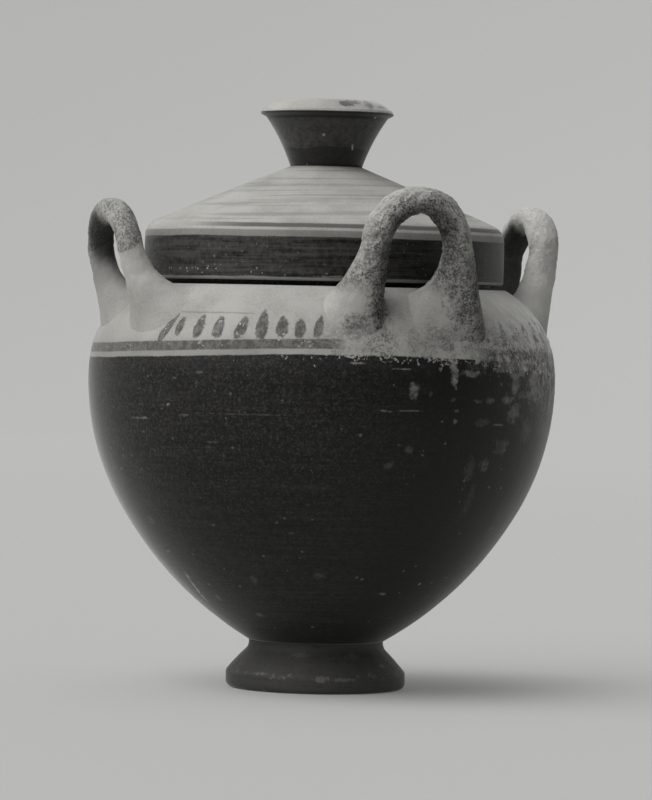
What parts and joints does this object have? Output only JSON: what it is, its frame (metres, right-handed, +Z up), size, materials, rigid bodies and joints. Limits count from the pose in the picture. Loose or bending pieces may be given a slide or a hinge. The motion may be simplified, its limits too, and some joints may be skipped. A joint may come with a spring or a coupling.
{
  "type": "lidded pyxis box",
  "caption": "Lidded clay pyxis: a round black-glazed jar on a flaring ring foot, with upright loop handles on its shoulder and a lift-off conical lid with a flared knob.",
  "frame": {"origin": "on the pot's axis, on the floor that the foot's ring stands on", "axes": "+Z up along the pot's axis, -Y towards the tallest handle (front), +X towards the right handle"},
  "size_m": [0.1987, 0.2002, 0.2405],
  "materials": {
    "black_glazed_clay": "worn satin black glaze over pale clay, with reserved bands on the shoulder and lid",
    "bare_clay": "matt pale clay, speckled with pits, flaked glaze and crust"
  },
  "bodies": {
    "vessel": {"foot": "black_glazed_clay", "body": "black_glazed_clay", "handle_front": "bare_clay", "handle_right": "bare_clay", "handle_back": "bare_clay", "handle_left": "bare_clay"},
    "lid": {"lid": "black_glazed_clay", "lid_knob": "black_glazed_clay"}
  },
  "joints": [
    {"name": "lid_lift", "type": "slide", "parent": "vessel", "child": "lid", "axis": [0, 0, 1], "range_m": [0, 0.08]}
  ]
}
